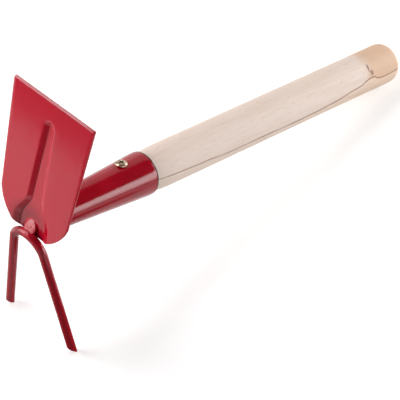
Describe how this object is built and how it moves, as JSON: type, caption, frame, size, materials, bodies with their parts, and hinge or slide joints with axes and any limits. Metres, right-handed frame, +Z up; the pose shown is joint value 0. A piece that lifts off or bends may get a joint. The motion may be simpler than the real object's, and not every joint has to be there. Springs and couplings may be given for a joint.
{
  "type": "double hoe",
  "caption": "Short hand hoe with a pressed trapezoid blade above a round-rod fork, both welded to a conical steel socket on a turned wooden handle.",
  "frame": {"origin": "middle of the space under the hoe as it stands on its tine tips and the butt of its handle, at floor level", "axes": "+Z up, towards the blade's cutting edge; +Y horizontal, from the blade towards the butt of the handle; +X across the blade"},
  "size_m": [0.073, 0.3596, 0.1945],
  "materials": {
    "red_paint": "gloss red enamel on steel",
    "pale_wood": "sanded pale birch without varnish",
    "yellow_zinc": "yellow zinc plating on a steel screw"
  },
  "bodies": {
    "root": {"blade": "red_paint", "socket": "red_paint", "fork": "red_paint", "blade_weld": "red_paint", "fork_weld_front": "red_paint", "fork_weld_rear": "red_paint", "handle": "pale_wood", "handle_screw": "yellow_zinc"}
  },
  "joints": []
}
